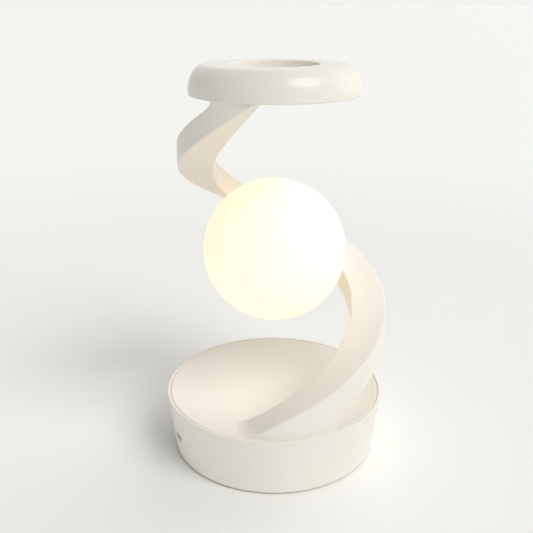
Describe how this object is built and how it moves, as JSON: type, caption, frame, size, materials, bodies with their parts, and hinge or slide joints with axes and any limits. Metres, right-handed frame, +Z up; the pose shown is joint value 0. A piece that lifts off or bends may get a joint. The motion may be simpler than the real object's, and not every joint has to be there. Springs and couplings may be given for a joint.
{
  "type": "rotating moon lamp",
  "caption": "Table lamp with a glowing globe held inside a spiral arm that climbs from a motor driven dish in a drum base to a ring on top",
  "frame": {"origin": "on the floor under the middle of the base drum, at the underside of the rubber feet", "axes": "+Z up along the turntable's axis, -X towards the charging socket, +Y completes a right-handed frame; millimetres in the source, metres in the record"},
  "size_m": [0.125, 0.125, 0.2173],
  "materials": {
    "white_plastic": "satin warm white",
    "inner_plastic": "fine matt off-white",
    "opal": "smooth translucent opal, lit warm white from inside",
    "foot_rubber": "matt",
    "steel": "plated",
    "iron": "rough",
    "light_metal": "turned",
    "brass": "plain",
    "board_green": "solder mask",
    "board_white": "white solder mask",
    "dark_plastic": "matt black",
    "gear_plastic": "natural",
    "chip": "phosphor yellow",
    "wire": "insulated"
  },
  "bodies": {
    "base": {"base_shell": "white_plastic", "bottom_cover": "inner_plastic", "rubber_feet": "foot_rubber", "cover_screws": "steel", "ballast_weights": "iron", "usb_socket": "steel", "usb_tongue": "dark_plastic", "charge_indicator": "dark_plastic", "control_board": "board_green", "board_parts": "dark_plastic", "board_screws": "steel", "gear_motor": "steel", "motor_screws": "steel", "motor_lead": "wire", "bearing_outer_ring": "steel", "glide_ring": "gear_plastic", "slip_ring_body": "dark_plastic", "slip_ring_lead": "wire"},
    "motor_output": {"motor_shaft": "steel", "drive_pinion": "gear_plastic"},
    "ball_set": {"bearing_balls": "steel"},
    "turntable": {"bearing_inner_ring": "steel", "slip_ring_rotor": "brass", "turntable_dish": "white_plastic", "spindle": "light_metal", "spindle_clip": "steel", "driven_gear": "gear_plastic", "gear_screws": "steel", "spiral_arm": "white_plastic", "arm_cover_strip": "white_plastic", "arm_toe": "white_plastic", "arm_foot_screws": "steel", "lamp_lead": "wire", "globe": "opal", "globe_collar": "white_plastic", "globe_stem": "brass", "stem_nut": "brass", "heat_spreader": "light_metal", "light_board": "board_white", "light_chips": "chip", "light_screws": "steel", "ring_shell": "white_plastic", "ring_bottom_plate": "inner_plastic", "touch_plate": "brass", "ring_screws": "steel", "arm_top_screws": "steel", "touch_lead": "wire"}
  },
  "joints": [
    {"name": "turntable_spin", "type": "hinge", "parent": "base", "child": "turntable", "pos_m": [0, 0, 0.014], "axis": [0, 0, 1], "continuous": true},
    {"name": "pinion_spin", "type": "hinge", "parent": "base", "child": "motor_output", "pos_m": [0.03005, 0, 0.018], "axis": [0, 0, 1], "continuous": true},
    {"name": "ball_orbit", "type": "hinge", "parent": "base", "child": "ball_set", "pos_m": [0, 0, 0.014], "axis": [0, 0, 1], "continuous": true}
  ],
  "couplings": [
    {"joint": "pinion_spin", "follows": "turntable_spin", "ratio": -4},
    {"joint": "ball_orbit", "follows": "turntable_spin", "ratio": 0.4172}
  ]
}
